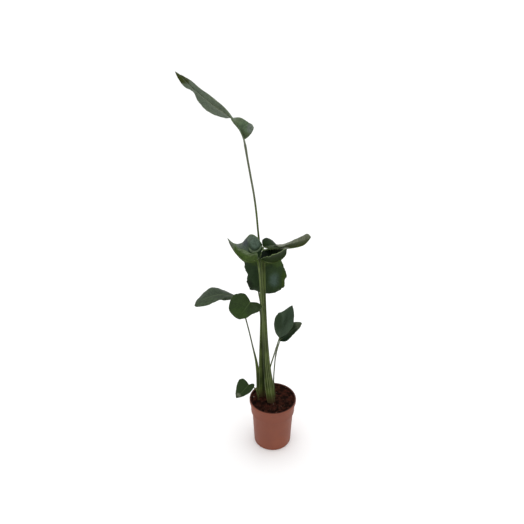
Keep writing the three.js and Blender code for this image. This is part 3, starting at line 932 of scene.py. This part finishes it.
# A blade is its surface with a sheet's thickness to either side, thinner at the edge. Side veins
# run with the rows: a fine ridge and furrow on both faces alike.
def makeBlade(name, leaf, shape, material):
    points, span, share, down, along = bladeSurface(leaf, shape)
    rows, columns = span.shape
    up = upperNormal(points, shape)
    veins = np.sin(2 * math.pi * leaf["veins"] * along)[:, None] * smooth(5 * share) * (1 - share ** 6)
    middle = points + up * (shape["veinHeight"] * veins)[..., None]
    sheet = lerp(shape["thickness"], shape["edgeThickness"], share ** 4)[..., None] / 2
    both = np.concatenate([middle + up * sheet, middle - up * sheet])
    upper = gridFaces(rows, columns)
    under = upper[:, ::-1] + rows * columns
    index = np.arange(rows * columns).reshape(rows, columns)
    rim = np.r_[index[0, ::-1], index[1:, 0], index[-1, 1:], index[-2:0:-1, -1]]
    after = np.roll(rim, -1)
    walls = np.stack([rim, after, after + rows * columns, rim + rows * columns], axis=-1)
    marks = {
        "under": np.repeat([0.0, 1.0], rows * columns),
        "share": np.tile(share.ravel(), 2),
        "along": np.tile(np.repeat(along, columns), 2),
    }
    uv = np.tile(np.stack([span.ravel(), down.ravel()], axis=-1), (2, 1))
    faces = np.vstack([upper, under, walls])
    piece = makeObject(f"leaf_{name}", both, faces, material, uv=uv, marks=marks)
    standFor(piece, f"blade_{name}")


# A stalk is an oval carried along its path, then along the underside of its blade as the midrib.
# The oval's half width eases from broad to slim over the sheath, and its side turns as little as it
# can from one step to the next. A channel runs up one face, a smooth hollow in the angle round the
# oval, with a raised pale margin on each side. The margins are furthest apart at the foot.
def makeStalk(name, leaf, shape, material):
    points = bladeSurface(leaf, shape)[0]
    middle = shape["halfColumns"]
    last = shape["bladeRows"] - 1
    up = unit(upperNormal(points, shape)[:, middle])
    places = np.array([1, 4, 8, 12, 15, 17]) / 18
    index = np.round(places * last).astype(int)
    ribBase = leaf["slim"] * shape["ribShare"]
    ribRadius = lerp(ribBase, shape["ribTip"], places)
    rib = points[index, middle] - up[index] * (0.8 * ribRadius + 0.0002)[:, None]
    foot = leaf["path"][0] - (0, 0, shape["footDepth"])
    stations = np.vstack([foot, leaf["path"], rib])
    bladeStart = len(leaf["path"]) / (len(stations) - 1)
    climb = np.linspace(0, 1, shape["stalkRows"])
    run = np.linspace(0, 1, shape["ribRows"])[1:]
    centre = curveAt(stations, np.r_[climb * bladeStart, lerp(bladeStart, 1, run)])
    heading = unit(np.gradient(centre, axis=0))
    side = carrySide(heading)
    depth = np.cross(heading, side)
    sheath = np.r_[1 - smooth(climb / leaf["sheath"]), 0 * run]
    slim = np.r_[leaf["slim"] + 0 * climb, lerp(ribBase, shape["ribTip"], run ** 0.8)]
    slim = slim + 0.0006 * np.r_[smooth((climb - 0.93) / 0.07), (1 - run) ** 6]
    halfWidth = lerp(slim, leaf["broad"], sheath)
    halfDepth = halfWidth * lerp(1, leaf["flat"], sheath)
    angle = np.arange(shape["stalkSides"]) * 2 * math.pi / shape["stalkSides"]
    apart = lerp(*shape["marginsApart"], sheath ** 0.8)[:, None]
    turn = np.abs((angle - shape["channelAngle"] + math.pi) % (2 * math.pi) - math.pi)[None]
    depthShare = np.r_[1 + 0 * climb, 1 - run][:, None]
    channel = depthShare * shape["channelDepth"] * smooth(1 - turn / apart)
    margin = np.exp(-((turn - apart) / shape["marginWidth"]) ** 2) * depthShare
    rounding = 1 - channel + shape["marginHeight"] * margin
    rounding = rounding + 0.012 * np.sin(9 * angle + 2.0)[None] * sheath[:, None]
    tube = centre[:, None] + side[:, None] * (halfWidth[:, None] * np.cos(angle) * rounding)[..., None]
    tube = tube + depth[:, None] * (halfDepth[:, None] * np.sin(angle) * rounding)[..., None]
    rows, columns = rounding.shape
    length = np.cumsum(np.r_[0, np.linalg.norm(np.diff(centre, axis=0), axis=1)])
    around = np.broadcast_to(angle / (2 * math.pi), rounding.shape)
    ends = np.stack([centre[0], centre[-1]])
    faces = gridFaces(rows, columns, joined=True).tolist()
    first, final = np.arange(columns), np.arange(columns) + (rows - 1) * columns
    faces += [(rows * columns, b, a) for a, b in zip(first, np.roll(first, -1))]
    faces += [(rows * columns + 1, a, b) for a, b in zip(final, np.roll(final, -1))]
    marks = {
        "margin": np.r_[margin.ravel(), 0, 0],
        "sheath": np.r_[np.repeat(sheath, columns), 1, 0],
        "onRib": np.r_[np.repeat(np.r_[0 * climb, smooth(8 * run)], columns), 0, 1],
    }
    uv = np.stack([around, np.broadcast_to(length[:, None], around.shape)], axis=-1).reshape(-1, 2)
    uv = np.vstack([uv, [[0, 0], [0, length[-1]]]])
    piece = makeObject(f"stalk_{name}", np.vstack([tube.reshape(-1, 3), ends]), faces, material, uv, marks)
    standFor(piece, leaf["node"])


# A side vector for each step of a path: the step before's, made square to the new heading.
def carrySide(heading):
    side = [np.array([1.0, 0, 0])]
    for ahead in heading:
        side.append(unit(side[-1] - ahead * np.dot(side[-1], ahead)))
    return np.array(side[1:])


def leafFinish(name, leaf):
    finish = Finish(f"leaf_{name}", shine=0.1)
    surface = finish.node("ShaderNodeUVMap", {"uv_map": "surface"})
    offRib = abs(finish.split(surface)[0])
    under, share, along = (finish.attribute(mark) for mark in ("under", "share", "along"))
    cloud = finish.noise(11.0, detail=4.0)
    mottle = finish.step(finish.noise(85.0, detail=3.0), 0.3, 0.7)
    speck = finish.step(finish.noise(260.0, detail=3.0), 0.3, 0.7)
    streak = finish.noise(90.0, detail=3.0, at=surface, stretch=(1.0, 0.12, 1.0))
    # Side veins follow the rows; finer lines lie between them.
    wander = along + 0.004 * finish.noise(30.0)
    fine = (wander * (2 * math.pi * leaf["veins"] * 3)).sine()
    main = (wander * (2 * math.pi * leaf["veins"])).sine()
    lines = (0.6 * main + 0.4 * fine) * finish.step(offRib, 0.001, 0.008)
    upper = finish.blend(finish.step(cloud, 0.35, 0.68), leaf["upper"], leaf["upperWarm"])
    lower = finish.blend(finish.step(cloud, 0.35, 0.68), leaf["lower"], leaf["lowerWarm"])
    colour = finish.blend(under, upper, lower)
    zone = finish.step(share + 0.25 * (mottle - 0.5), 0.45, 0.95) * under
    colour = finish.blend(zone * leaf["edgeShare"], colour, leaf["edge"])
    for patch in leaf["patches"]:
        colour = addPatch(finish, colour, patch, under if patch["under"] else 1 - under)
    tone = 0.98 + 0.06 * lines + leaf["mottle"] * (0.3 * mottle + 0.35 * speck - 0.325)
    colour = finish.shade(colour, tone + leaf["streaks"] * (streak - 0.5))
    ribWidth = 0.0032 - 0.0026 * along
    rib = 1 - finish.step(offRib / ribWidth, 0.55, 1.15)
    colour = finish.blend(rib * 0.8, colour, leaf["rib"])
    rim = finish.step(share, leaf["rimFrom"], leaf["rimFrom"] + 0.02)
    colour = finish.blend(rim * leaf["rimShare"], colour, leaf["rim"])
    roughness = leaf["gloss"] + 0.16 * under + 0.12 * mottle - 0.03 * lines
    finish.bump(0.5 * lines + 0.35 * mottle + 0.15 * speck, 0.0005, 0.35)
    return finish.done(colour, roughness)


# Blends a patch into the colour so far, on one face of the leaf.
def addPatch(finish, colour, patch, face):
    place = finish.place()
    away = finish.node("ShaderNodeVectorMath", {"operation": "SUBTRACT"}, {0: place, 1: patch["at"]})
    away = finish.node("ShaderNodeVectorMath", {"operation": "DIVIDE"}, {0: away, 1: patch["reach"]})
    far = finish.node("ShaderNodeVectorMath", {"operation": "LENGTH"}, {0: away}, output=1)
    if patch["ring"]:
        height = finish.split(away)[2]
        amount = (1 - finish.step(abs(far - 1) / patch["ring"], 0.4, 1.2)) * finish.step(height, -0.2, -0.6)
    else:
        amount = 1 - finish.step(far + 0.5 * (finish.noise(40.0) - 0.5), patch["core"], 1.05)
    return finish.blend(amount * face * patch["amount"], colour, patch["colour"])


stalkLook = {
    "green": (0.053, 0.078, 0.014),
    "olive": (0.02, 0.03, 0.003),
    "low": (0.066, 0.082, 0.018),
    "grey": (0.095, 0.098, 0.08),
    "margin": (0.19, 0.23, 0.1),
    # The next colour is painted shade for the hollow between the two shoots.
    "between": (0.008, 0.014, 0.002),
    "foot": (0.05, 0.036, 0.015),
    "footHeight": (0.207, 0.262),
    "greyRise": 0.14,
}


def stalkFinish(name, look, leaf):
    finish = Finish(f"stalk_{name}", shine=0.1)
    surface = finish.node("ShaderNodeUVMap", {"uv_map": "surface"})
    margin, sheath, onRib = (finish.attribute(mark) for mark in ("margin", "sheath", "onRib"))
    x, z = finish.split(finish.place())[::2]
    streak = finish.noise(34.0, detail=4.0, at=surface, stretch=(1.0, 0.09, 1.0))
    fibre = finish.noise(150.0, detail=2.0, at=surface, stretch=(1.0, 0.05, 1.0))
    cloud = finish.noise(16.0, detail=3.0)
    speck = finish.noise(900.0, detail=2.0)
    colour = finish.blend(finish.step(cloud, 0.35, 0.65), look["green"], look["olive"])
    colour = finish.blend(sheath * finish.step(cloud, 0.6, 0.4) * 0.6, colour, look["low"])
    grey = finish.step(z, leaf["greyFrom"], leaf["greyFrom"] + look["greyRise"]) * (1 - sheath)
    colour = finish.blend(grey * 0.75, colour, look["grey"])
    colour = finish.shade(colour, 0.05 + 1.35 * streak + 0.45 * fibre + 0.06 * speck)
    colour = finish.blend(margin * leaf["pale"] * (1 - onRib), colour, look["margin"])
    # Painted shade: the colour is darkened in the hollow between the two shoots.
    between = finish.step(x, -0.047, -0.039) * finish.step(x, -0.031, -0.035) * finish.step(z, 0.6, 0.4)
    colour = finish.blend(between * 0.85, colour, look["between"])
    colour = finish.blend(1 - finish.step(z, *look["footHeight"]), colour, look["foot"])
    colour = finish.blend(onRib * 0.6, colour, leaf["keel"])
    finish.bump(0.6 * streak + 0.4 * fibre, 0.0006, 0.4)
    return finish.done(colour, 0.36 + 0.16 * streak + 0.1 * cloud)


for name, own in leaves.items():
    leaf = {**commonLook, **own}
    for rail in ("midrib", "left", "right", "path"):
        leaf[rail] = np.array(own[rail]) / 1000
    makeBlade(name, leaf, growth, leafFinish(name, leaf))
    makeStalk(name, leaf, growth, stalkFinish(name, stalkLook, leaf))
    print("leaf ready:", name)
